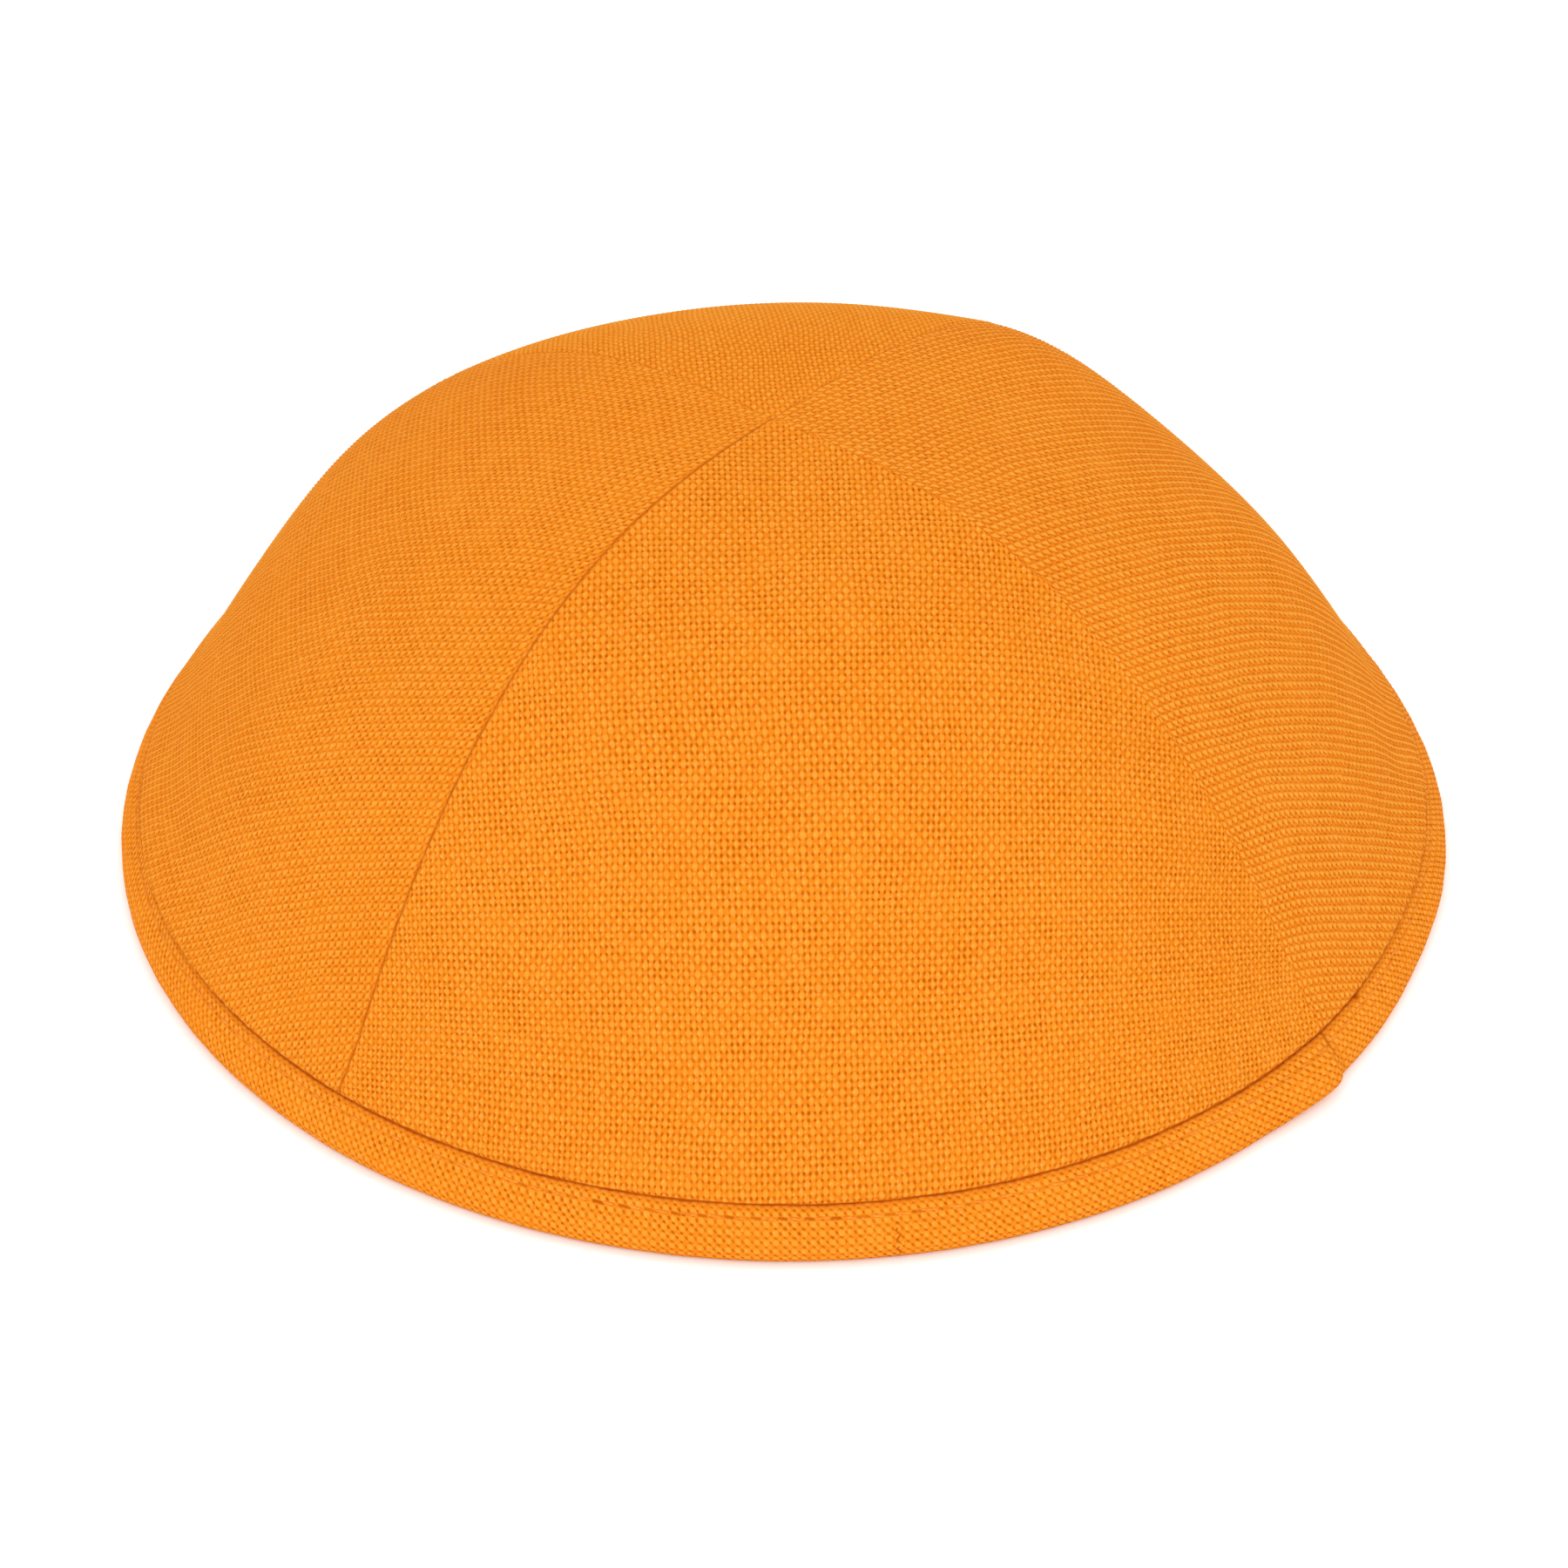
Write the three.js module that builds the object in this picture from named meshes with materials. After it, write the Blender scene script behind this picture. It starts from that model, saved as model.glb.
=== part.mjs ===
// Four-panel linen skullcap with a bias-cut tape folded over its rim.
// Millimetres, +Z up. The rim stands on z = 0 with the origin at its centre, and the front panel faces -Y.
//
// The crown is a dome of four three-cornered panels whose points meet near its top. Seen from above the
// seams run straight from there to the rim, and from the side they stand out as low ridges. The tape
// wraps the panels' lower edges, and its end laps over its start with a fold that stands out.

import * as THREE from 'three';

const DEG = Math.PI / 180;
const { euclideanModulo, lerp, smoothstep } = THREE.MathUtils;

// The dome, measured on the outside of the sewn cloth
const RIM_RADIUS = 81.0;                  // mean, where the dome's line meets the surface
const RIM_OVAL = 0.5;                     // added to that along the rim's long axis, and taken off across it
const OVAL_TURN = -27 * DEG;              // from +X to the long axis
const CROWN_HEIGHT = 59.5;                // the dome's line at its top
const TOP_SHIFT = { x: -1.2, y: -4.0 };   // the panels' meeting point, from the rim's centre
const PANEL_POWER = 2.56;                 // how full the dome's side is down a panel's middle
const SEAM_POWER = 2.81;                  // and down a seam, where it is fuller
const RIDGE_SHARE = 0.5;                  // 0 rounds the ridge at a seam off, 1 leaves it sharp
const FIRST_SEAM = -39.3 * DEG;           // between the front panel and the right one

// Cloth
const WALL = 1.2;                         // linen with its turned seam allowances
const CLEARANCE = 0.3;                    // between neighbouring pieces
const INSET = 0.4;                        // the panels' outside, in from the dome's line

// The tape round the rim
const TAPE_WALL = 1.1;                    // two layers of linen
const TAPE_HEIGHT = 7.3;                  // top of each leaf, up the slope from the surface
const TAPE_EDGE = 0.3;                    // chamfer on a leaf's folded edge
const PRESSED = 0.35;                     // how much the fold is flattened by what it stands on
const TUCK_FADE = 4.0;                    // above the tape, the panels come out from under it over this

// The tape's lapped end
const LAP_AZIMUTH = -39 * DEG;
const LAP_STEP = 1.2;                     // how far its fold stands out
const LAP_RISE = 1.5 * DEG;               // the step's own width
const LAP_FADE = 10.5 * DEG;              // the stretch over which the tape comes back in

// Facets
const PANEL_COUNT = 4;
const COLUMNS = 20;                       // across each panel
const ROWS = 12;                          // down each panel, above the tape
const BEND_STEPS = 8;                     // round the outside of the tape's fold
const SLOT_STEPS = 4;                     // and round its inside
const SLOPE_STEP = 0.01;                  // share and radians that a slope is measured over

const PANEL_ANGLE = 2 * Math.PI / PANEL_COUNT;
const HALF_TAPE = WALL / 2 + CLEARANCE + TAPE_WALL;
const HALF_SLOT = WALL / 2 + CLEARANCE;

// Soft dents and swellings in the dome: where each lies, as an azimuth in degrees and a share of the way
// down from the top, how far it spreads round and along in the same units, and its depth inward in mm.
const DENTS = [
  { azimuth: 152, round: 16, down: 0.72, along: 0.13, depth: -1.4 },
  { azimuth: 122, round: 20, down: 0.45, along: 0.16, depth: 0.5 },
  { azimuth: 205, round: 16, down: 0.80, along: 0.12, depth: -1.3 },
  { azimuth: 40, round: 16, down: 0.50, along: 0.15, depth: -1.6 },
  { azimuth: 5, round: 16, down: 0.70, along: 0.15, depth: -2.0 },
  { azimuth: -24, round: 9, down: 1.00, along: 0.08, depth: 0.6 },
];

/** How near an azimuth is to a seam: 1 on one, 0 in the middle of a panel. */
function seamShare(azimuth) {
  const turn = azimuth - FIRST_SEAM;
  const round = 0.5 + 0.5 * Math.cos(PANEL_COUNT * turn);
  const sharp = 1 - Math.abs(Math.sin(PANEL_COUNT * turn / 2));
  return lerp(round, sharp, RIDGE_SHARE);
}

/** The exponent of the dome's side at an azimuth. */
function powerAt(azimuth) {
  return lerp(PANEL_POWER, SEAM_POWER, seamShare(azimuth));
}

/** A point of the dome's line: share is 0 at the top and 1 at the rim. */
function dome(azimuth, share) {
  const radius = share * (RIM_RADIUS + RIM_OVAL * Math.cos(2 * (azimuth - OVAL_TURN)));
  return new THREE.Vector3(
    TOP_SHIFT.x * (1 - share) + radius * Math.cos(azimuth),
    TOP_SHIFT.y * (1 - share) + radius * Math.sin(azimuth),
    CROWN_HEIGHT * (1 - share ** powerAt(azimuth)),
  );
}

/** The dome's outward normal. Close to the top, where it hardly turns, it is measured a little lower. */
function domeNormal(azimuth, share) {
  const from = Math.max(share, 2 * SLOPE_STEP);
  const down = dome(azimuth, from + SLOPE_STEP).sub(dome(azimuth, from - SLOPE_STEP));
  const round = dome(azimuth + SLOPE_STEP, from).sub(dome(azimuth - SLOPE_STEP, from));
  return down.cross(round).normalize();
}

/** How far the cloth is pushed in at a place on the dome. */
function dentAt(azimuth, share) {
  return DENTS.reduce((sum, dent) => {
    const turn = Math.abs(azimuth / DEG - dent.azimuth) % 360;
    const round = Math.min(turn, 360 - turn) / dent.round;
    const along = (share - dent.down) / dent.along;
    return sum + dent.depth * Math.exp(-round * round - along * along);
  }, 0);
}

/** A point at a distance out from the dented dome. */
function skin(azimuth, share, out) {
  const rise = domeNormal(azimuth, share).multiplyScalar(out - dentAt(azimuth, share));
  return dome(azimuth, share).add(rise);
}

/** The share of the dome that lies a distance up the slope from the rim. */
function shareUp(azimuth, up) {
  return 1 - up / Math.hypot(RIM_RADIUS, CROWN_HEIGHT * powerAt(azimuth));
}

/** How far up the slope the middle of the tape's fold lies, so that it is pressed flat as much as stated. */
function foldHeight(azimuth) {
  const normal = domeNormal(azimuth, 1);
  const rise = Math.hypot(normal.x, normal.y);
  return (HALF_TAPE - PRESSED - foldOut() * normal.z) / rise;
}

/** The distance out of the middle of the tape, which is the middle of the wall inside it. */
function foldOut() {
  return -INSET - CLEARANCE - WALL / 2;
}

/** The wall's outside, as a distance out, at a height up the slope: under the tape it is tucked in. */
function wallOut(up) {
  const tucked = foldOut() + WALL / 2;
  return lerp(tucked, -INSET, smoothstep(up, TAPE_HEIGHT + CLEARANCE, TAPE_HEIGHT + TUCK_FADE));
}

/** Joins rings of points into a closed body: a hoop, or a strip whose first and last rings are closed. */
function loft(rings, isHoop) {
  const size = rings[0].length;
  const corners = [];
  const triangle = (a, b, c) => {
    const isThin = [[a, b], [b, c], [c, a]].some(([p, q]) => p.distanceTo(q) < 1e-6);
    if (!isThin) corners.push(a, b, c);
  };
  const quad = (a, b, c, d) => {
    triangle(a, b, c);
    triangle(a, c, d);
  };
  const closeEnd = (ring, isLast) => {
    for (let k = 0; k < size / 2 - 1; k++) {
      const sides = [ring[k], ring[k + 1], ring[size - 2 - k], ring[size - 1 - k]];
      quad(...(isLast ? sides.reverse() : sides));
    }
  };
  for (let j = 0; j < rings.length - (isHoop ? 0 : 1); j++) {
    const here = rings[j];
    const next = rings[(j + 1) % rings.length];
    for (let k = 0; k < size; k++) {
      const after = (k + 1) % size;
      quad(here[k], next[k], next[after], here[after]);
    }
  }
  if (!isHoop) {
    closeEnd(rings[0], false);
    closeEnd(rings.at(-1), true);
  }
  const geometry = new THREE.BufferGeometry().setFromPoints(corners);
  geometry.computeVertexNormals();
  return geometry;
}

/** One three-cornered panel between two seams, from its point at the top to its edge inside the tape. */
function panelGeometry(index) {
  const start = FIRST_SEAM + index * PANEL_ANGLE;
  const tip = CLEARANCE / 2 / Math.sin(PANEL_ANGLE / 2) / RIM_RADIUS;
  const tuckTop = TAPE_HEIGHT + TUCK_FADE;
  const heights = [tuckTop - TUCK_FADE / 3, TAPE_HEIGHT + TUCK_FADE / 3, TAPE_HEIGHT, null];

  /** The ring at one row: the outside from seam to seam, then the inside back. */
  const ring = (shareOf, outOf) => {
    const outside = [];
    const inside = [];
    for (let i = 0; i <= COLUMNS; i++) {
      const nominal = start + PANEL_ANGLE * i / COLUMNS;
      const share = shareOf(nominal);
      const margin = Math.asin(Math.min(CLEARANCE / 2 / (share * RIM_RADIUS), 1));
      const azimuth = start + margin + (PANEL_ANGLE - 2 * margin) * i / COLUMNS;
      outside.push(skin(azimuth, share, outOf(nominal)));
      inside.unshift(skin(azimuth, share, outOf(nominal) - WALL));
    }
    return [...outside, ...inside];
  };

  const rings = [];
  for (let j = 0; j <= ROWS; j++) {
    rings.push(ring((azimuth) => lerp(tip, shareUp(azimuth, tuckTop), j / ROWS), () => -INSET));
  }
  for (const height of heights) {
    const up = (azimuth) => height ?? foldHeight(azimuth);
    rings.push(ring((azimuth) => shareUp(azimuth, up(azimuth)), (azimuth) => wallOut(up(azimuth))));
  }
  return loft(rings, false);
}

/** How far the tape stands out at its lapped end: a step on one side that fades away on the other. */
function lapOut(azimuth) {
  const behind = euclideanModulo(LAP_AZIMUTH - azimuth, 2 * Math.PI);
  return LAP_STEP * Math.min(behind / LAP_RISE, 1) * (1 - smoothstep(behind, LAP_RISE, LAP_FADE));
}

/** The tape's section at an azimuth: outer leaf, fold, inner leaf, and the slot that holds the wall. */
function tapeSection(azimuth) {
  const middle = foldOut();
  const fold = foldHeight(azimuth);
  const lap = lapOut(azimuth);

  /** A leaf's folded edge, from the slot's side to the other. */
  const edge = (side, stretch) => [
    { up: TAPE_HEIGHT - TAPE_EDGE, out: middle + side * HALF_SLOT },
    { up: TAPE_HEIGHT, out: middle + side * (HALF_SLOT + TAPE_EDGE) },
    { up: TAPE_HEIGHT, out: middle + side * (HALF_TAPE - TAPE_EDGE) + stretch },
    { up: TAPE_HEIGHT - TAPE_EDGE, out: middle + side * HALF_TAPE + stretch },
  ];

  /** The half round of the fold, from the outer leaf to the inner one. */
  const bend = (half, steps, stretch) => Array.from({ length: steps + 1 }, (_, k) => {
    const angle = Math.PI * k / steps;
    const outward = Math.max(Math.cos(angle), 0);
    return { up: fold - half * Math.sin(angle), out: middle + half * Math.cos(angle) + stretch * outward };
  });

  return [
    ...edge(1, lap),
    ...bend(HALF_TAPE, BEND_STEPS, lap),
    ...edge(-1, 0).reverse(),
    ...bend(HALF_SLOT, SLOT_STEPS, 0).reverse(),
  ];
}

/** The tape: its section carried round the rim, with two rings close together at the lap's step. */
function tapeGeometry() {
  const azimuths = Array.from({ length: PANEL_COUNT * COLUMNS }, (_, k) => FIRST_SEAM + PANEL_ANGLE * k / COLUMNS);
  azimuths.push(LAP_AZIMUTH - LAP_RISE, LAP_AZIMUTH);
  azimuths.sort((a, b) => b - a);
  const rings = azimuths.map((azimuth) => tapeSection(azimuth).map(({ up, out }) => {
    const point = skin(azimuth, shareUp(azimuth, up), out);
    point.z = Math.max(point.z, 0);
    return point;
  }));
  return loft(rings, true);
}

const panelLinen = new THREE.MeshStandardMaterial({ color: 0xf0902a, roughness: 0.9, metalness: 0, flatShading: true });
const tapeLinen = new THREE.MeshStandardMaterial({ color: 0xf28c24, roughness: 0.9, metalness: 0, flatShading: true });

const skullcap = new THREE.Group();
skullcap.name = 'skullcap';

// The panels follow each other anticlockwise from the first seam
['panel_right', 'panel_back', 'panel_left', 'panel_front'].forEach((name, index) => {
  const panel = new THREE.Mesh(panelGeometry(index), panelLinen);
  panel.name = name;
  skullcap.add(panel);
});

const tape = new THREE.Mesh(tapeGeometry(), tapeLinen);
tape.name = 'rim_tape';
skullcap.add(tape);

export default skullcap;
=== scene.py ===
"""Looks of a four-panel linen skullcap: woven panels, a bias tape round the rim and its topstitching.

All sizes in the classes are millimetres and degrees unless a name says otherwise. The meshes are metres.
"""

import logging
import math
from dataclasses import dataclass
from enum import Enum

import bmesh
import bpy
import numpy as np
from mathutils import Matrix, Vector


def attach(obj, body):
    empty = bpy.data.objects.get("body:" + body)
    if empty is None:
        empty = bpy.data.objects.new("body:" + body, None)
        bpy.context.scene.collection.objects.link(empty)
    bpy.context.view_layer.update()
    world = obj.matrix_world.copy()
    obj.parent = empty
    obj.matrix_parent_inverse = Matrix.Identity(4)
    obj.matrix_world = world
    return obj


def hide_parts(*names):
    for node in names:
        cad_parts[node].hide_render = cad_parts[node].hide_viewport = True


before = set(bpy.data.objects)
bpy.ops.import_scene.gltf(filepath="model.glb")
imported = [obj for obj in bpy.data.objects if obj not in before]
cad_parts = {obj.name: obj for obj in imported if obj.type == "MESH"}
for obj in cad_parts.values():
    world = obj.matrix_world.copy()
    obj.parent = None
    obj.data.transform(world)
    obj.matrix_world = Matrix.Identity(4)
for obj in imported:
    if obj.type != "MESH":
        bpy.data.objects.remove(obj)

LOG = logging.getLogger("skullcap")
MM = 0.001
GRAIN_MAP = "grain"
PAINTED_CREASE_SHADE = "painted_crease_shade"
GROOVE = "groove"
# spacing of the yarns in every straight piece's grain map; each piece stretches it to its own spacing
MAP_WARP = 0.64
MAP_WEFT = 0.87


class SeamStyle(Enum):
    """How the cloth lies beside a seam."""

    PRESSED = "pressed to a fine dark line"
    PROUD = "pressed, and a little higher than its neighbour"
    SOFT = "a soft ridge with puckers"


@dataclass(frozen=True)
class SeamShape:
    """Relief of the cloth beside a seam, in millimetres, and how dark the painted shade on the seam's line
    is.
    """

    drop: float
    pucker: float
    dark: float
    dark_pucker: float
    dark_reach: float
    ridge: float = 0.0
    ridge_place: float = 0.0
    ridge_reach: float = 1.0


SEAM_SHAPES = {
    SeamStyle.PRESSED: SeamShape(drop=0.15, pucker=0.06, dark=0.26, dark_pucker=0.14, dark_reach=0.16),
    SeamStyle.PROUD: SeamShape(
        drop=0.15,
        pucker=0.05,
        dark=0.72,
        dark_pucker=0.22,
        dark_reach=0.19,
        ridge=0.14,
        ridge_place=0.5,
        ridge_reach=2.4,
    ),
    SeamStyle.SOFT: SeamShape(
        drop=0.25, pucker=0.14, dark=0.10, dark_pucker=0.0, dark_reach=0.20, ridge=0.16, ridge_reach=1.6
    ),
}


class Weave(Enum):
    """Which way the yarns run in a piece's own map."""

    STRAIGHT = 0.0
    BIAS = 45.0


def linear(code: str) -> tuple[float, float, float, float]:
    """Turns an sRGB hex colour into a linear one.

    Args:
        code: the colour as six hex digits.

    Returns:
        Red, green, blue and alpha, linear.
    """
    parts = [int(code[i : i + 2], 16) / 255 for i in (0, 2, 4)]
    red, green, blue = (p / 12.92 if p <= 0.04045 else ((p + 0.055) / 1.055) ** 2.4 for p in parts)
    return (red, green, blue, 1.0)


def add_node(
    tree: bpy.types.NodeTree, kind: str, inputs: dict, output: int | str = 0, **settings
) -> bpy.types.NodeSocket:
    """Adds a shader node with its settings, values and links.

    Args:
        tree: the material's node tree.
        kind: the node's type without its "ShaderNode" prefix.
        inputs: input name or number to a value, or to the socket that feeds it.
        output: name or number of the output to give back.
        **settings: properties of the node.

    Returns:
        The node's chosen output.
    """
    node = tree.nodes.new("ShaderNode" + kind)
    for key, value in settings.items():
        setattr(node, key, value)
    for key, value in inputs.items():
        if isinstance(value, bpy.types.NodeSocket):
            tree.links.new(value, node.inputs[key])
        else:
            node.inputs[key].default_value = value
    return node.outputs[output]


def smooth(value: np.ndarray, low: float, high: float) -> np.ndarray:
    """Smooth step from 0 at low to 1 at high.

    Args:
        value: where to read the step.
        low: where it leaves 0.
        high: where it reaches 1.

    Returns:
        The step's height at each value.
    """
    t = np.clip((value - low) / (high - low), 0.0, 1.0)
    return t * t * (3.0 - 2.0 * t)


def ripple(along: np.ndarray, waves: tuple[float, ...], seed: int) -> np.ndarray:
    """Irregular wave made of a few sines.

    Args:
        along: place along the line.
        waves: wavelengths of the sines.
        seed: picks their phases and shares.

    Returns:
        A height between about -1 and 1 at each place.
    """
    rng = np.random.default_rng(seed)
    total = np.zeros_like(along)
    for wave in waves:
        phase, share = rng.uniform(0, math.tau), rng.uniform(0.6, 1.0)
        drift = 0.7 * np.sin(along / wave / 2.3 + phase)
        total = total + share * np.sin(math.tau * along / wave + phase + drift)
    return total / len(waves)


@dataclass(frozen=True)
class Dome:
    """The crown's outside, as the part's source gives it."""

    rim: float = 81.0
    oval: float = 0.5
    oval_turn: float = -27.0
    height: float = 59.5
    top: tuple[float, float] = (-1.2, -4.0)
    panel_power: float = 2.56
    seam_power: float = 2.81
    ridge_share: float = 0.5
    first_seam: float = -39.3
    dents: tuple[tuple[float, float, float, float, float], ...] = (
        (152, 16, 0.72, 0.13, -1.4),
        (122, 20, 0.45, 0.16, 0.5),
        (205, 16, 0.80, 0.12, -1.3),
        (40, 16, 0.50, 0.15, -1.6),
        (5, 16, 0.70, 0.15, -2.0),
        (-24, 9, 1.00, 0.08, 0.6),
    )

    def radius(self, azimuth: np.ndarray) -> np.ndarray:
        """Radius of the rim at each azimuth, in radians."""
        return self.rim + self.oval * np.cos(2 * (azimuth - math.radians(self.oval_turn)))

    def power(self, azimuth: np.ndarray) -> np.ndarray:
        """Exponent of the meridian, which is fuller over the seams.

        Args:
            azimuth: round the cap, in radians.

        Returns:
            The exponent at each azimuth.
        """
        turn = azimuth - math.radians(self.first_seam)
        wave = 0.5 + 0.5 * np.cos(4 * turn)
        ridge = 1 - np.abs(np.sin(2 * turn))
        seam = wave + (ridge - wave) * self.ridge_share
        return self.panel_power + (self.seam_power - self.panel_power) * seam

    def line(self, azimuth: np.ndarray, share: np.ndarray) -> np.ndarray:
        """Points of the dome.

        Args:
            azimuth: round the cap, in radians.
            share: 0 at the top and 1 at the rim.

        Returns:
            The points, one row each.
        """
        reach = share * self.radius(azimuth)
        rise = self.height * (1 - np.maximum(share, 0) ** self.power(azimuth))
        across = self.top[0] * (1 - share) + reach * np.cos(azimuth)
        along = self.top[1] * (1 - share) + reach * np.sin(azimuth)
        return np.stack([across, along, rise], -1)

    def normal(self, azimuth: np.ndarray, share: np.ndarray) -> np.ndarray:
        """Outward normals of the dome.

        Args:
            azimuth: round the cap, in radians.
            share: 0 at the top and 1 at the rim.

        Returns:
            Unit vectors, one row each.
        """
        base = np.maximum(share, 0.02)
        down = self.line(azimuth, base + 0.01) - self.line(azimuth, base - 0.01)
        around = self.line(azimuth + 0.01, base) - self.line(azimuth - 0.01, base)
        out = np.cross(down, around)
        return out / np.linalg.norm(out, axis=-1, keepdims=True)

    def dent(self, azimuth: np.ndarray, share: np.ndarray) -> np.ndarray:
        """How far the soft dents press the cloth in.

        Args:
            azimuth: round the cap, in radians.
            share: 0 at the top and 1 at the rim.

        Returns:
            Depth inwards at each place, in millimetres.
        """
        total = np.zeros(np.broadcast(azimuth, share).shape)
        for middle, wide, down, tall, depth in self.dents:
            turn = np.degrees(np.angle(np.exp(1j * (azimuth - math.radians(middle)))))
            total = total + depth * np.exp(-((turn / wide) ** 2) - ((share - down) / tall) ** 2)
        return total

    def skin(self, azimuth: np.ndarray, share: np.ndarray, out: np.ndarray) -> np.ndarray:
        """Points at a distance from the dome.

        Args:
            azimuth: round the cap, in radians.
            share: 0 at the top and 1 at the rim.
            out: distance outwards, in millimetres.

        Returns:
            The points, one row each.
        """
        lift = (out - self.dent(azimuth, share))[..., None]
        return self.line(azimuth, share) + self.normal(azimuth, share) * lift

    def slope(self, azimuth: np.ndarray) -> np.ndarray:
        """Length of slope that a whole share stands for at the rim."""
        return np.hypot(self.rim, self.height * self.power(azimuth))

    def share_up(self, azimuth: np.ndarray, up: np.ndarray) -> np.ndarray:
        """Share of the place that lies up the slope from the rim by a length."""
        return 1 - up / self.slope(azimuth)

    def locate(self, spots: np.ndarray) -> tuple[np.ndarray, np.ndarray]:
        """Finds the azimuth and share of points given in plan.

        Args:
            spots: points on the dome, one row each.

        Returns:
            Azimuth in radians and share of each point.
        """
        top = np.array(self.top)
        plan = spots[:, :2]
        share = np.linalg.norm(plan, axis=1) / self.rim
        for _ in range(12):
            arm = plan - top * (1 - share)[:, None]
            azimuth = np.arctan2(arm[:, 1], arm[:, 0])
            share = np.linalg.norm(arm, axis=1) / self.radius(azimuth)
        return azimuth, share

    def fold_height(
        self, azimuth: np.ndarray, reach: float, pressed: float, fold_out: float
    ) -> np.ndarray:
        """Height up the slope of the middle of the tape's bend, so that the bend rests on the floor.

        Args:
            azimuth: round the cap, in radians.
            reach: the bend's radius.
            pressed: how far the floor flattens it.
            fold_out: distance of its middle from the dome.

        Returns:
            Height up the slope at each azimuth.
        """
        face = self.normal(azimuth, np.ones_like(azimuth))
        return (reach - pressed - fold_out * face[..., 2]) / np.hypot(face[..., 0], face[..., 1])


@dataclass(frozen=True)
class Grain:
    """Map between a panel's flat cloth and the dome, along the panel's middle meridian."""

    dome: Dome
    middle: float
    sphere: float = 84.0

    def table(self) -> tuple[np.ndarray, np.ndarray, np.ndarray]:
        """Share for each azimuth and arc length down from the top.

        Returns:
            Turns from the middle in degrees, arc lengths, and the table of shares.
        """
        turns = np.linspace(-180.0, 180.0, 361)
        shares = np.linspace(0.0, 1.06, 300)
        azimuth, share = np.meshgrid(np.radians(turns + self.middle), shares, indexing="ij")
        steps = np.linalg.norm(np.diff(self.dome.line(azimuth, share), axis=1), axis=2)
        arcs = np.concatenate([np.zeros((len(turns), 1)), np.cumsum(steps, 1)], 1)
        lengths = np.linspace(0.0, 118.0, 400)
        found = np.stack([np.interp(lengths, row, shares) for row in arcs])
        return turns, lengths, found

    def to_dome(self, across: np.ndarray, down: np.ndarray) -> tuple[np.ndarray, np.ndarray]:
        """Places of the dome for places of the flat cloth.

        Args:
            across: place across the panel.
            down: place down the panel from the top.

        Returns:
            Turn from the panel's middle in radians, and share.
        """
        turns, lengths, found = self.table()
        side = np.sin(across / self.sphere)
        slope = np.tan(down / self.sphere)
        height = np.sqrt((1 - side**2) / (1 + slope**2))
        turn = np.arctan2(side, slope * height)
        arc = self.sphere * np.arccos(np.clip(height, -1, 1))
        row = (np.degrees(turn) - turns[0]) / (turns[1] - turns[0])
        column = arc / (lengths[1] - lengths[0])
        i = np.clip(row.astype(int), 0, len(turns) - 2)
        j = np.clip(column.astype(int), 0, len(lengths) - 2)
        a, b = row - i, np.clip(column - j, 0, 1)
        near = found[i, j] * (1 - b) + found[i, j + 1] * b
        far = found[i + 1, j] * (1 - b) + found[i + 1, j + 1] * b
        return turn, near * (1 - a) + far * a


@dataclass(frozen=True)
class WovenSurface:
    """What a weave gives its material: sockets of one number each."""

    height: bpy.types.NodeSocket
    tone: bpy.types.NodeSocket
    opening: bpy.types.NodeSocket
    painted_pit_shade: bpy.types.NodeSocket
    glint: bpy.types.NodeSocket


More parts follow.
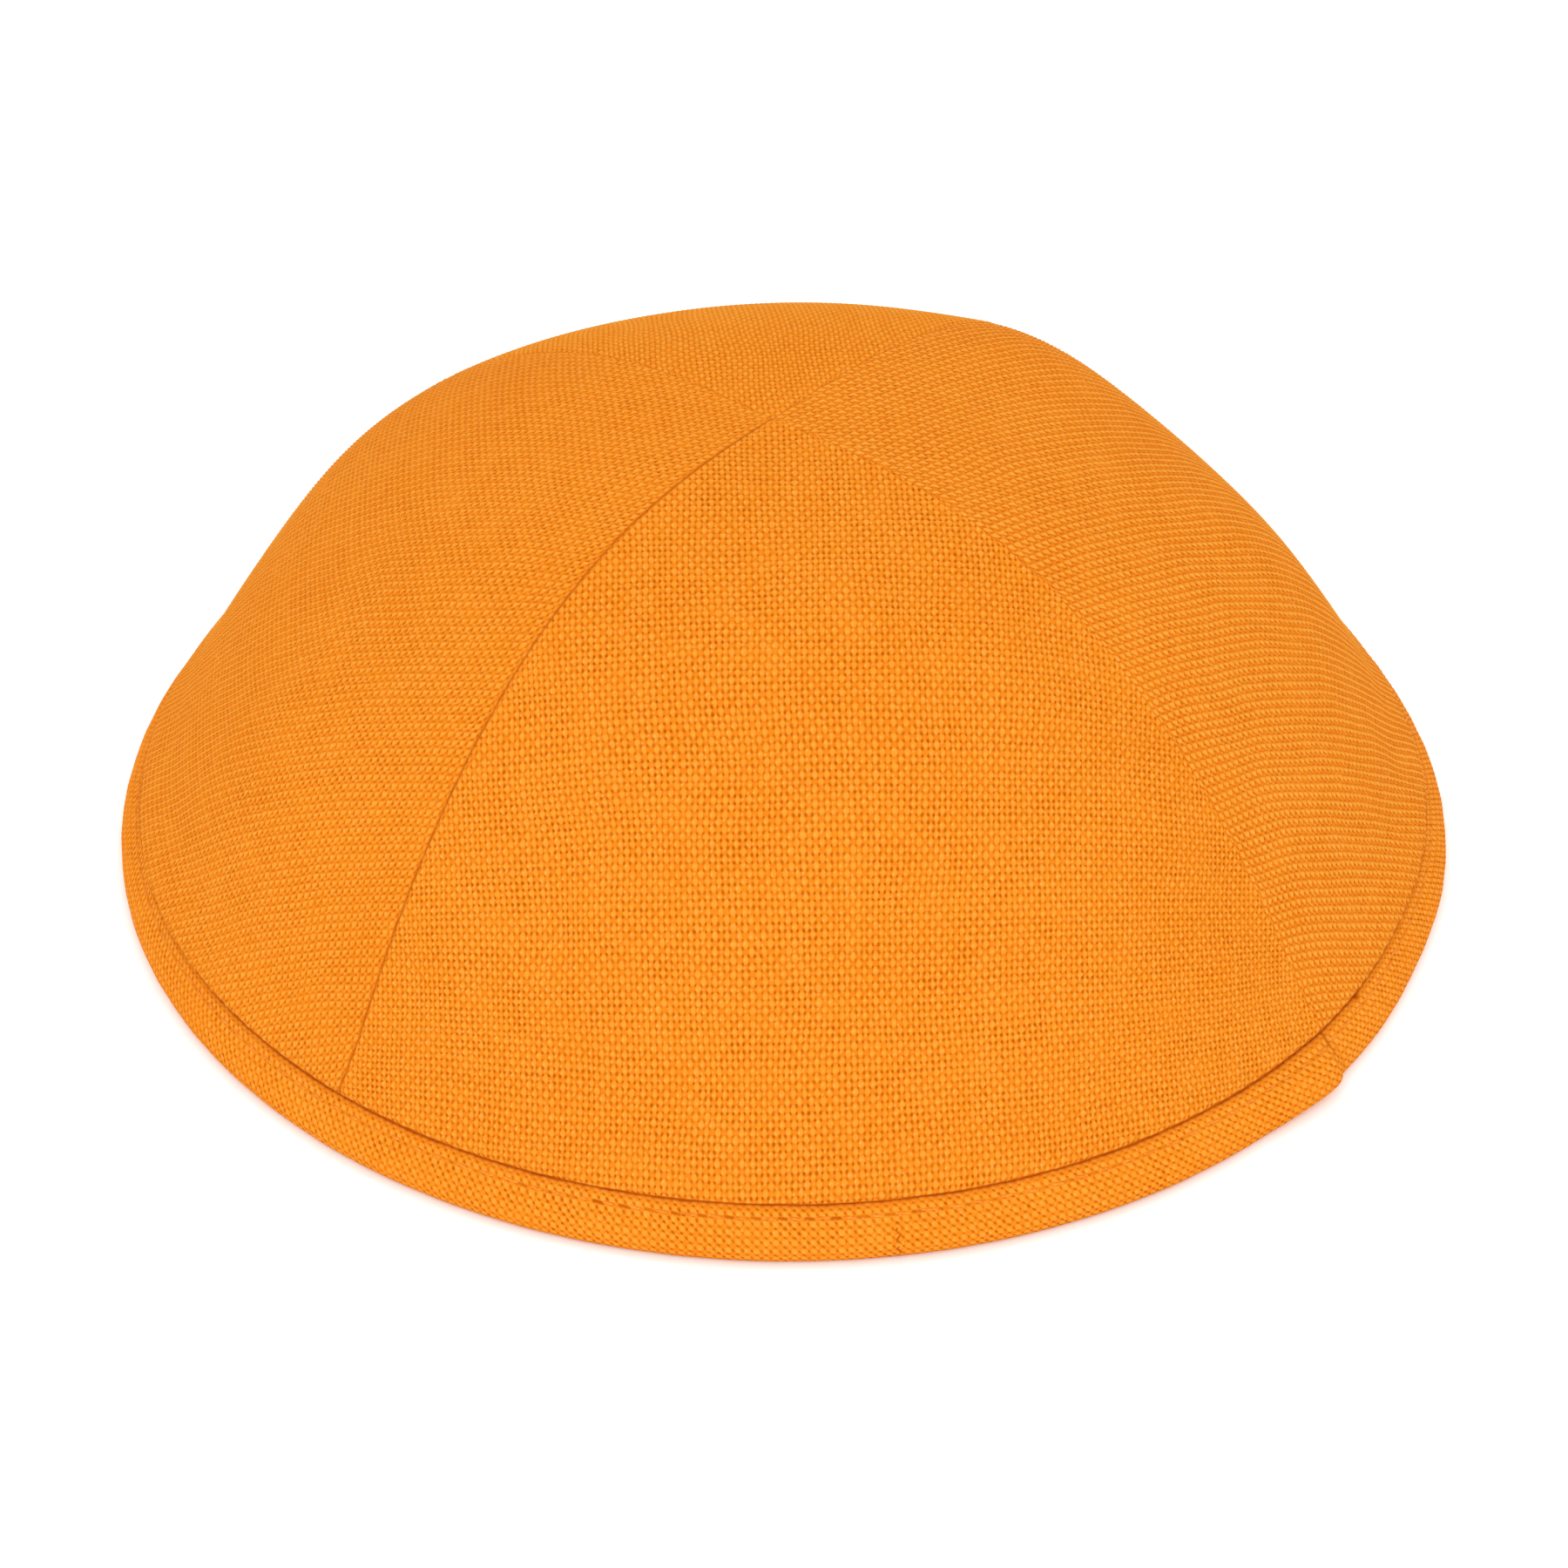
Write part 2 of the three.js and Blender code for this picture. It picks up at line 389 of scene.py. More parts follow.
@dataclass(frozen=True)
class LinenFinish:
    """Plain-weave linen: matt, uneven yarns, small open holes between them, a few thick places."""

    name: str = "plain_weave_linen_orange"
    weave: Weave = Weave.STRAIGHT
    warp_pitch: float = MAP_WARP
    weft_pitch: float = MAP_WEFT
    # colours: painted shade in the pits, seams, groove and needle holes; painted shade in the weave's low
    # places; the body; painted light on its crowns; the glints' painted highlight
    painted_shade: str = "A44600"
    low: str = "C25B03"
    body: str = "D87D1A"
    high: str = "DD983B"
    glint: str = "DDA047"
    hole_size: float = 0.31
    # how much painted shade the pits get, from closed to open cloth
    pits: tuple[float, float] = (0.50, 1.05)
    painted_float_light: float = 0.75
    glint_size: tuple[float, float] = (0.15, 0.24)
    glint_share: float = 0.65
    glint_lean: float = 0.35
    crown_lift: float = 0.045
    stitch_pitch: float = 0.0
    stitch_depth: float = 1.5
    stitch_slant: float = 0.10
    join_place: float = 0.0
    tight_place: float = 0.0
    groove_painted_shade: float = 0.90
    roughness: float = 0.88
    specular: float = 0.015
    sheen: float = 0.004
    sheen_roughness: float = 0.5

    def make(self) -> bpy.types.Material:
        """Builds the material.

        Returns:
            The linen, which reads the piece's grain map in millimetres and the masks for the painted shade
            at its seams and in the groove under the tape.
        """
        material = bpy.data.materials.new(self.name)
        material.use_nodes = True
        tree = material.node_tree
        shader = tree.nodes["Principled BSDF"]
        grain = add_node(tree, "UVMap", {}, uv_map=GRAIN_MAP)
        # hand-spun unevenness: every yarn edge wavers by a few hundredths of a millimetre
        waver = add_node(tree, "TexNoise", {"Vector": grain, "Scale": 0.9, "Detail": 2.0}, "Color")
        waver = add_node(tree, "VectorMath", {0: waver, 1: (0.5, 0.5, 0.5)}, operation="SUBTRACT")
        waver = add_node(tree, "VectorMath", {0: waver, "Scale": 0.16}, operation="SCALE")
        cloth = add_node(tree, "VectorMath", {0: grain, 1: waver}, operation="ADD")
        turn = {"Vector": cloth, "Angle": math.radians(self.weave.value)}
        turned = add_node(tree, "VectorRotate", turn, rotation_type="Z_AXIS")
        per_yarn = (1 / self.warp_pitch, 1 / self.weft_pitch, 1.0)
        yarns = add_node(tree, "VectorMath", {0: turned, 1: per_yarn}, operation="MULTIPLY")
        u = add_node(tree, "SeparateXYZ", {0: yarns}, "X")
        v = add_node(tree, "SeparateXYZ", {0: yarns}, "Y")
        woven = self.yarns(tree, u, v)
        # patches where the cloth is looser or closer, so that its pits get more or less painted shade
        patch = add_node(tree, "TexNoise", {"Vector": cloth, "Scale": 0.22, "Detail": 2.0})
        opening = add_node(tree, "Math", {0: patch, 1: woven.opening}, operation="ADD")
        opening = {0: opening, 1: 0.80, 2: 1.24, 3: self.pits[0], 4: self.pits[1]}
        opening = add_node(tree, "MapRange", opening)
        # painted shade in the open pits between the yarns
        painted_shade = add_node(tree, "Math", {0: woven.painted_pit_shade, 1: opening}, operation="MULTIPLY")
        # painted shade in the weave's low places and painted light on its crowns, from the cloth's height
        painted_light_by_height = add_node(tree, "MapRange", {0: woven.height, 1: 0.15, 2: 1.05, 3: 0.38, 4: 0.58})
        # broad drifts of tone, as in cloth dyed in the piece
        drift = add_node(tree, "TexNoise", {"Vector": cloth, "Scale": 0.05, "Detail": 3.0})
        drift = add_node(tree, "MapRange", {0: drift, 1: 0.3, 2: 0.7, 3: -0.025, 4: 0.025})
        tone = add_node(tree, "Math", {0: woven.tone, 1: drift}, operation="ADD")
        level = add_node(tree, "Math", {0: tone, 1: 1.25, 2: painted_light_by_height}, operation="MULTIPLY_ADD")
        ramp = tree.nodes.new("ShaderNodeValToRGB")
        ramp.color_ramp.elements[0].color = linear(self.low)
        ramp.color_ramp.elements[1].color = linear(self.high)
        ramp.color_ramp.elements.new(0.5).color = linear(self.body)
        tree.links.new(level, ramp.inputs[0])
        dyed = {"Factor": woven.glint, 6: ramp.outputs[0], 7: linear(self.glint)}
        dyed = add_node(tree, "Mix", dyed, 2, data_type="RGBA")
        dark = self.marks(tree, grain, painted_shade)
        # painted shade along the seams' lines and in the tape's creases
        painted_crease_shade = add_node(tree, "Attribute", {}, "Fac", attribute_name=PAINTED_CREASE_SHADE)
        dark = add_node(tree, "Math", {0: dark, 1: painted_crease_shade}, operation="MAXIMUM")
        # painted shade: a thin dark line where the cloth goes under the tape, so that the tape stands off
        # it
        groove = add_node(tree, "Attribute", {}, "Fac", attribute_name=GROOVE)
        line = {0: groove, 1: 0.50, 2: 0.85, 3: 0.0, 4: self.groove_painted_shade}
        line = add_node(tree, "MapRange", line, interpolation_type="SMOOTHSTEP")
        dark = add_node(tree, "Math", {0: dark, 1: line}, operation="MAXIMUM")
        # the painted shade colour in the pits, along the seams, in the groove and in the needle holes
        colour = {"Factor": dark, 6: dyed, 7: linear(self.painted_shade)}
        colour = add_node(tree, "Mix", colour, 2, data_type="RGBA", clamp_factor=True)
        tree.links.new(colour, shader.inputs["Base Color"])
        deep = add_node(tree, "Math", {0: painted_shade, 1: -0.7, 2: woven.height}, operation="MULTIPLY_ADD")
        bump = add_node(tree, "Bump", {"Height": deep, "Strength": 1.0, "Distance": self.crown_lift * MM})
        tree.links.new(bump, shader.inputs["Normal"])
        shader.inputs["Roughness"].default_value = self.roughness
        shader.inputs["Specular IOR Level"].default_value = self.specular
        shader.inputs["Sheen Weight"].default_value = self.sheen
        shader.inputs["Sheen Roughness"].default_value = self.sheen_roughness
        return material

    def yarns(
        self, tree: bpy.types.NodeTree, u: bpy.types.NodeSocket, v: bpy.types.NodeSocket
    ) -> WovenSurface:
        """Warp and weft yarns that pass over and under each other.

        Args:
            tree: the material's node tree.
            u: place across the warp, in warp yarns.
            v: place across the weft, in weft yarns.

        Returns:
            The cloth's height, its tone from yarn to yarn with the floats' painted light and shade, how
            open its gaps are, the painted shade of the pits between four yarns, and the glints on the
            floats.
        """
        heights, tones, gaps, offs, indices = [], [], [], [], []
        for across, along, over, swing in ((u, v, 1.0, 0.50), (v, u, -1.0, 0.34)):
            index = add_node(tree, "Math", {0: across}, operation="ROUND")
            off = add_node(tree, "Math", {0: across, 1: index}, operation="SUBTRACT")
            indices.append(index)
            offs.append(off)
            wave = add_node(tree, "Math", {0: along, 1: math.pi}, operation="MULTIPLY")
            wave = add_node(tree, "Math", {0: wave}, operation="COSINE")
            turn = add_node(tree, "Math", {0: index, 1: math.pi}, operation="MULTIPLY")
            turn = add_node(tree, "Math", {0: turn}, operation="COSINE")
            lift = add_node(tree, "Math", {0: wave, 1: turn}, operation="MULTIPLY")
            # thick and thin places a few millimetres long on each yarn
            spot = add_node(tree, "CombineXYZ", {0: index, 1: along, 2: over * 9.0})
            slub = add_node(tree, "VectorMath", {0: spot, 1: (5.17, 0.16, 1.0)}, operation="MULTIPLY")
            slub = add_node(tree, "TexNoise", {"Vector": slub, "Scale": 1.0, "Detail": 1.0})
            half = add_node(tree, "MapRange", {0: slub, 1: 0.3, 2: 0.72, 3: 0.40, 4: 0.53})
            part = add_node(tree, "Math", {0: off, 1: half}, operation="DIVIDE")
            part = add_node(tree, "Math", {0: part, 1: part}, operation="MULTIPLY")
            body = add_node(tree, "Math", {0: part, 1: -0.6, 2: 0.6}, operation="MULTIPLY_ADD")
            lifted = add_node(tree, "Math", {0: lift, 1: swing * over, 2: body}, operation="MULTIPLY_ADD")
            heights.append(lifted)
            # each yarn took the dye a little differently, and its fibres lie along it
            yarn = add_node(tree, "CombineXYZ", {0: index, 2: over})
            shade = add_node(tree, "TexWhiteNoise", {"Vector": yarn}, "Value")
            fibre = add_node(tree, "CombineXYZ", {0: across, 1: along, 2: over * 4.0})
            fibre = add_node(tree, "VectorMath", {0: fibre, 1: (7.0, 1.1, 1.0)}, operation="MULTIPLY")
            fibre = add_node(tree, "TexNoise", {"Vector": fibre, "Scale": 1.0, "Detail": 2.0})
            mixed = add_node(tree, "Math", {0: shade, 1: 0.45, 2: -0.225}, operation="MULTIPLY_ADD")
            mixed = add_node(tree, "Math", {0: fibre, 1: 1.6, 2: mixed}, operation="MULTIPLY_ADD")
            mixed = add_node(tree, "Math", {0: slub, 1: 0.7, 2: mixed}, operation="MULTIPLY_ADD")
            # painted light and shade: the warp's floats, which stand up, are painted lighter, and the
            # weft's, which lie lower between them, darker
            level = self.painted_float_light * over - 1.15
            tones.append(add_node(tree, "Math", {0: mixed, 1: level}, operation="ADD"))
            # some gaps between two yarns stay open for a long way and others close up
            floor = add_node(tree, "Math", {0: across}, operation="FLOOR")
            gap = add_node(tree, "CombineXYZ", {0: floor, 1: along, 2: over * 5.0})
            gap = add_node(tree, "VectorMath", {0: gap, 1: (3.71, 0.09, 1.0)}, operation="MULTIPLY")
            gaps.append(add_node(tree, "TexNoise", {"Vector": gap, "Scale": 1.0, "Detail": 1.0}))
        above = add_node(tree, "Math", {0: heights[0], 1: heights[1]}, operation="GREATER_THAN")
        height = add_node(tree, "Math", {0: heights[0], 1: heights[1], 2: 0.08}, operation="SMOOTH_MAX")
        tone = add_node(tree, "Mix", {"Factor": above, 2: tones[1], 3: tones[0]})
        tone = add_node(tree, "Math", {0: tone, 1: 0.14}, operation="MULTIPLY")
        opening = add_node(tree, "Math", {0: gaps[0], 1: gaps[1]}, operation="ADD")
        opening = add_node(tree, "Math", {0: opening, 1: 0.5}, operation="MULTIPLY")
        # painted shade in the pit, which lies where four yarns meet, half a yarn from each
        cell = add_node(tree, "CombineXYZ", {0: offs[0], 1: offs[1]})
        corner = add_node(tree, "VectorMath", {0: cell}, operation="ABSOLUTE")
        corner = add_node(tree, "VectorMath", {0: corner, 1: (0.5, 0.5, 0.0)}, operation="SUBTRACT")
        shape = (self.warp_pitch * 1.15, self.weft_pitch * 0.75, 0.0)
        corner = add_node(tree, "VectorMath", {0: corner, 1: shape}, operation="MULTIPLY")
        corner = add_node(tree, "VectorMath", {0: corner}, "Value", operation="LENGTH")
        home = [add_node(tree, "Math", {0: place}, operation="FLOOR") for place in (u, v)]
        home = add_node(tree, "CombineXYZ", {0: home[0], 1: home[1], 2: 8.0})
        luck = add_node(tree, "TexWhiteNoise", {"Vector": home}, "Value")
        reach = add_node(tree, "MapRange", {0: luck, 3: self.hole_size * 0.65, 4: self.hole_size * 1.1})
        painted_pit_shade = add_node(tree, "MapRange", {0: corner, 1: reach, 2: 0.02}, interpolation_type="SMOOTHSTEP")
        # twisted fibres on top of some floats catch the light in a short leaning stroke
        chance = add_node(tree, "CombineXYZ", {0: indices[0], 1: indices[1], 2: 3.0})
        aside = add_node(tree, "TexWhiteNoise", {"Vector": chance}, "Color")
        aside = add_node(tree, "VectorMath", {0: aside, 1: (0.5, 0.5, 0.5)}, operation="SUBTRACT")
        aside = add_node(tree, "VectorMath", {0: aside, 1: (0.45, 0.60, 0.0)}, operation="MULTIPLY")
        across = {0: offs[1], 1: self.glint_lean, 2: offs[0]}
        across = add_node(tree, "Math", across, operation="MULTIPLY_ADD")
        stroke = add_node(tree, "CombineXYZ", {0: across, 1: offs[1]})
        stroke = add_node(tree, "VectorMath", {0: stroke, 1: aside}, operation="ADD")
        wide, long = self.glint_size
        shape = (self.warp_pitch / wide, self.weft_pitch / long, 0.0)
        stroke = add_node(tree, "VectorMath", {0: stroke, 1: shape}, operation="MULTIPLY")
        stroke = add_node(tree, "VectorMath", {0: stroke}, "Value", operation="LENGTH")
        stroke = add_node(tree, "MapRange", {0: stroke, 1: 1.3, 2: 0.3}, interpolation_type="SMOOTHSTEP")
        chance = add_node(tree, "TexWhiteNoise", {"Vector": chance}, "Value")
        chance = add_node(tree, "MapRange", {0: chance, 1: 0.1, 2: 1.0, 3: 0.0, 4: self.glint_share})
        glint = add_node(tree, "Math", {0: stroke, 1: chance}, operation="MULTIPLY")
        return WovenSurface(height, tone, opening, painted_pit_shade, glint)

    def marks(
        self, tree: bpy.types.NodeTree, grain: bpy.types.NodeSocket, painted_shade: bpy.types.NodeSocket
    ) -> bpy.types.NodeSocket:
        """Painted shade in the needle holes, and the tape's joining seam, on the tape alone.

        Args:
            tree: the material's node tree.
            grain: the piece's map in millimetres.
            painted_shade: the painted shade in the weave's own holes.

        Returns:
            Socket of how dark each place is.
        """
        if not self.stitch_pitch:
            return painted_shade
        # painted shade in the needle holes, a short dash at each end of every stitch
        along = add_node(tree, "SeparateXYZ", {0: grain}, "X")
        down = add_node(tree, "SeparateXYZ", {0: grain}, "Y")
        place = add_node(tree, "Math", {0: along, 1: self.stitch_pitch}, operation="DIVIDE")
        number = add_node(tree, "Math", {0: place}, operation="FLOOR")
        part = add_node(tree, "Math", {0: place}, operation="FRACT")
        part = add_node(tree, "Math", {0: part, 1: -0.5}, operation="ADD")
        part = add_node(tree, "Math", {0: part, 1: self.stitch_pitch}, operation="MULTIPLY")
        length = add_node(tree, "Math", {0: part}, operation="ABSOLUTE")
        length = add_node(tree, "MapRange", {0: length, 1: 0.72, 2: 0.45})
        line = {0: part, 1: self.stitch_slant, 2: self.stitch_depth}
        line = add_node(tree, "Math", line, operation="MULTIPLY_ADD")
        gap = add_node(tree, "Math", {0: down, 1: line}, operation="SUBTRACT")
        gap = add_node(tree, "Math", {0: gap}, operation="ABSOLUTE")
        band = add_node(tree, "MapRange", {0: gap, 1: 0.26, 2: 0.10})
        needle_hole_shade = add_node(tree, "Math", {0: length, 1: band}, operation="MULTIPLY")
        force = add_node(tree, "TexWhiteNoise", {"W": number}, "Value", noise_dimensions="1D")
        force = add_node(tree, "MapRange", {0: force, 1: 0.0, 2: 1.0, 3: 0.35, 4: 0.95})
        needle_hole_shade = add_node(tree, "Math", {0: needle_hole_shade, 1: force}, operation="MULTIPLY")
        # the painted shade in the needle holes is stronger along a stretch in front, where the thread is
        # pulled tighter and its holes show more
        apart = add_node(tree, "Math", {0: along, 1: self.tight_place}, operation="SUBTRACT")
        apart = add_node(tree, "Math", {0: apart}, operation="ABSOLUTE")
        tight = add_node(tree, "MapRange", {0: apart, 1: 14.0, 2: 30.0, 3: 1.0, 4: 0.4})
        needle_hole_shade = add_node(tree, "Math", {0: needle_hole_shade, 1: tight}, operation="MULTIPLY")
        # the joining seam steps from yarn to yarn, so it shows as a broken zigzag
        zig = add_node(tree, "Math", {0: down, 1: 0.55}, operation="PINGPONG")
        zig = add_node(tree, "Math", {0: zig, 1: 0.8, 2: self.join_place}, operation="MULTIPLY_ADD")
        seam = add_node(tree, "Math", {0: along, 1: zig}, operation="SUBTRACT")
        seam = add_node(tree, "Math", {0: seam}, operation="ABSOLUTE")
        seam = add_node(tree, "MapRange", {0: seam, 1: 0.24, 2: 0.10, 3: 0.0, 4: 0.85})
        blots = add_node(tree, "TexNoise", {"Vector": grain, "Scale": 1.3})
        blots = add_node(tree, "MapRange", {0: blots, 1: 0.36, 2: 0.56})
        seam = add_node(tree, "Math", {0: seam, 1: blots}, operation="MULTIPLY")
        reach = add_node(tree, "MapRange", {0: down, 1: 2.0, 2: 2.4})
        seam = add_node(tree, "Math", {0: seam, 1: reach}, operation="MULTIPLY")
        both = add_node(tree, "Math", {0: needle_hole_shade, 1: seam}, operation="MAXIMUM")
        return add_node(tree, "Math", {0: both, 1: painted_shade}, operation="MAXIMUM")


@dataclass(frozen=True)
class ThreadFinish:
    """Spun polyester sewing thread, dyed to match: a little smoother and lighter than the linen."""

    name: str = "spun_sewing_thread_orange"
    body: str = "CE6C0C"
    high: str = "D98A31"
    ply_length: float = 0.45

    def make(self) -> bpy.types.Material:
        """Builds the material.

        Returns:
            The thread, with fine plies that catch the light in turn.
        """
        material = bpy.data.materials.new(self.name)
        material.use_nodes = True
        tree = material.node_tree
        shader = tree.nodes["Principled BSDF"]
        place = add_node(tree, "TexCoord", {}, "Object")
        plies = {"Vector": place, "Scale": 1 / (self.ply_length * MM), "Detail": 2.0}
        plies = add_node(tree, "TexNoise", plies)
        shade = add_node(tree, "MapRange", {0: plies, 1: 0.35, 2: 0.65})
        colour = {"Factor": shade, 6: linear(self.body), 7: linear(self.high)}
        colour = add_node(tree, "Mix", colour, 2, data_type="RGBA")
        tree.links.new(colour, shader.inputs["Base Color"])
        bump = add_node(tree, "Bump", {"Height": plies, "Strength": 0.6, "Distance": 0.05 * MM})
        tree.links.new(bump, shader.inputs["Normal"])
        shader.inputs["Roughness"].default_value = 0.7
        shader.inputs["Specular IOR Level"].default_value = 0.08
        shader.inputs["Sheen Weight"].default_value = 0.01
        return material


@dataclass(frozen=True)
class FloorFinish:
    """Matt white card, which keeps its colour out of the way."""

    name: str = "matt_white_card"
    paper: str = "FAFAFA"

    def make(self) -> bpy.types.Material:
        """Builds the material.

        Returns:
            The card, with a trace of fibre in its tone.
        """
        material = bpy.data.materials.new(self.name)
        material.use_nodes = True
        tree = material.node_tree
        shader = tree.nodes["Principled BSDF"]
        place = add_node(tree, "TexCoord", {}, "Object")
        fibre = add_node(tree, "TexNoise", {"Vector": place, "Scale": 40.0, "Detail": 3.0})
        tone = add_node(tree, "MapRange", {0: fibre, 1: 0.3, 2: 0.7, 3: 0.985, 4: 1.0})
        colour = add_node(tree, "VectorMath", {0: linear(self.paper)[:3], "Scale": tone}, operation="SCALE")
        tree.links.new(colour, shader.inputs["Base Color"])
        shader.inputs["Roughness"].default_value = 0.9
        shader.inputs["Specular IOR Level"].default_value = 0.1
        return material


def dress(obj: bpy.types.Object, material: bpy.types.Material, nodes: tuple[str, ...]) -> None:
    """Gives a piece its material, and its place in the frame.

    Args:
        obj: the piece.
        material: its finish.
        nodes: the solids that it stands for.
    """
    obj.data.materials.clear()
    obj.data.materials.append(material)
    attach(obj, "root")
    for node in nodes:
        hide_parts(node)


def apply_modifiers(obj: bpy.types.Object) -> None:
    """Applies every modifier of a piece, in order.

    Args:
        obj: the piece.
    """
    bpy.ops.object.select_all(action="DESELECT")
    bpy.context.view_layer.objects.active = obj
    obj.select_set(True)
    for modifier in list(obj.modifiers):
        bpy.ops.object.modifier_apply(modifier=modifier.name)
    obj.select_set(False)


@dataclass
class Panel:
    """One three-cornered panel of the crown, woven, cut and sewn to its neighbours."""

    name: str
    node: str
    dome: Dome
    middle: float
    seams: tuple[SeamStyle, SeamStyle]
    seed: int
    grain_turn: float
    weft_pitch: float
    flat_area: float
    flat: tuple[float, float] = (118.0, 108.0)
    warp_pitch: float = MAP_WARP
    half_width: float = 72.0
    knots: int = 14
    fine_wander: float = 0.055
    broad_wander: float = 0.16
    overhang: float = 1.4
    inset: float = 0.4
    thickness: float = 0.85
    relief: float = 0.09
    float_relief: float = 0.06
    seam_gap: float = 0.0
    roll: float = 0.30
    pucker_reach: float = 3.2
    lower_edge: float = 2.7
    tape_top: float = 7.3
    tucked_out: float = -0.38
    tuck_reach: float = 0.75
    groove_reach: tuple[float, float] = (0.6, 2.0)
    puff: float = 0.65
    puff_reach: float = 9.0
    fuller: tuple[tuple[float, float, float], ...] = ((200.0, 22.0, 0.75), (-15.0, 20.0, 0.45))

    def lattice(self) -> tuple[np.ndarray, np.ndarray, list]:
        """Nodes at the crossings and the gaps of the yarns, joined in small diamonds.

        Returns:
            Points on the dome, each one's place in the flat cloth, and the faces.
        """
        coarse = 1
        step_u, step_v = self.warp_pitch / 2 * coarse, self.weft_pitch / 2 * coarse
        cols = math.ceil(self.half_width / step_u)
        rows = math.ceil(self.flat[1] / step_v)
        m, n = np.meshgrid(np.arange(-cols, cols + 1), np.arange(-4, rows + 1), indexing="ij")
        u, v = self.wander(m * step_u, n * step_v)
        turn, share = Grain(self.dome, self.middle + self.grain_turn).to_dome(u.ravel(), v.ravel())
        turn, share = turn.reshape(m.shape) + math.radians(self.grain_turn), share.reshape(m.shape)
        nominal = np.stack([m * coarse * MAP_WARP / 2, n * coarse * MAP_WEFT / 2], -1)
        reach = np.maximum(share, 1e-3) * self.dome.rim
        margin = np.degrees(self.overhang / reach) + 45.0
        azimuth = turn + math.radians(self.middle)
        low = self.dome.share_up(azimuth, np.full_like(azimuth, self.lower_edge))
        keep = ((m + n) % 2 == 0) & ((np.abs(np.degrees(turn)) < margin) | (reach < 2.2)) & (share < low)
        index = np.full(m.shape, -1)
        index[keep] = np.arange(keep.sum())
        points = self.dome.line(azimuth[keep], share[keep])
        west, south, east, north = index[:-2, 1:-1], index[1:-1, 2:], index[2:, 1:-1], index[1:-1, :-2]
        corners = np.stack([west, south, east, north], -1).reshape(-1, 4)
        faces = corners[(corners >= 0).all(1)]
        return points, nominal[keep], faces.tolist()

    def wander(self, u: np.ndarray, v: np.ndarray) -> tuple[np.ndarray, np.ndarray]:
        """Moves the yarns a little out of their even spacing.

        Args:
            u: even places across the flat cloth.
            v: even places down it.

        Returns:
            The places across and down where the yarns really lie.
        """
        rng = np.random.default_rng(self.seed)
        shape = u.shape
        moved = []
        sets = ((v, self.warp_pitch, shape[0]), (u, self.weft_pitch, shape[1]))
        for axis, (length, pitch, count) in enumerate(sets):
            fine = rng.normal(0, self.fine_wander * pitch, (count, self.knots))
            broad = rng.normal(0, 1.0, (count, self.knots))
            kernel = np.hanning(41) / np.hanning(41).sum()
            broad = np.apply_along_axis(lambda row: np.convolve(row, kernel, "same"), 0, broad)
            table = fine + broad * (self.broad_wander / max(broad.std(), 1e-6))
            table = (table + np.roll(table, 1, 0)) / 2
            where = np.interp(length, (length.min(), length.max()), (0, self.knots - 1.001))
            k, part = where.astype(int), where % 1
            part = part * part * (3 - 2 * part)
            lines = np.arange(count)[:, None] if axis == 0 else np.arange(count)[None, :]
            lines = np.broadcast_to(lines, shape)
            moved.append(table[lines, k] * (1 - part) + table[lines, k + 1] * part)
        return u + moved[0], v + moved[1]

    def seam_plane(self, side: int) -> tuple[Vector, Vector]:
        """Upright plane of a seam.

        Args:
            side: 0 for the seam at the lower azimuth, 1 for the other.

        Returns:
            A point of the plane, in metres, and its normal, which points out of the panel.
        """
        azimuth = math.radians(self.middle + (45.0 if side else -45.0))
        top = Vector((*self.dome.top, 0.0))
        reach = float(self.dome.radius(np.array(azimuth)))
        foot = Vector((reach * math.cos(azimuth), reach * math.sin(azimuth), 0.0))
        along = (foot - top).normalized()
        out = along.cross(Vector((0, 0, 1))) * (-1 if side else 1)
        return top * MM, out

    def cut(self, points: np.ndarray, nominal: np.ndarray, faces: list) -> bpy.types.Object:
        """Cuts the woven piece along its seams.

        Args:
            points: the piece's points.
            nominal: their places in the flat cloth.
            faces: its faces.

        Returns:
            The cut panel, still without its wall.
        """
        mesh = bpy.data.meshes.new(self.name)
        mesh.from_pydata((points * MM).tolist(), [], faces)
        work = bmesh.new()
        work.from_mesh(mesh)
        place = work.verts.layers.float_vector.new("place")
        for vert, (u, v) in zip(work.verts, nominal):
            vert[place] = (u, v, 0.0)
        for side in (0, 1):
            spot, out = self.seam_plane(side)
            for back, clear in ((0.9, False), (0.42, False), (0.14, False), (self.seam_gap, True)):
                bmesh.ops.bisect_plane(
                    work,
                    geom=[*work.verts, *work.edges, *work.faces],
                    plane_co=spot - out * back * MM,
                    plane_no=out,
                    dist=1e-6,
                    clear_outer=clear,
                )
        bmesh.ops.remove_doubles(work, verts=work.verts, dist=0.02 * MM)
        work.to_mesh(mesh)
        work.free()
        obj = bpy.data.objects.new(self.name, mesh)
        bpy.context.scene.collection.objects.link(obj)
        return obj

    def shape(self, obj: bpy.types.Object) -> None:
        """Gives the panel its relief, its rolled seams and its tuck under the tape.

        Args:
            obj: the cut panel.
        """
        mesh = obj.data
        count = len(mesh.vertices)
        spots = np.zeros(count * 3)
        mesh.vertices.foreach_get("co", spots)
        spots = spots.reshape(-1, 3) / MM
        place = np.zeros(count * 3)
        mesh.attributes["place"].data.foreach_get("vector", place)
        u, v = place.reshape(-1, 3)[:, 0], place.reshape(-1, 3)[:, 1]
        azimuth, share = self.dome.locate(spots)
        weave = np.cos(math.tau * u / MAP_WARP) + np.cos(math.tau * v / MAP_WEFT)
        float_side = np.cos(math.pi * u / MAP_WARP) * np.cos(math.pi * v / MAP_WEFT)
        relief = self.relief * weave / 2 + self.float_relief * float_side
        out = np.full(count, -self.inset)
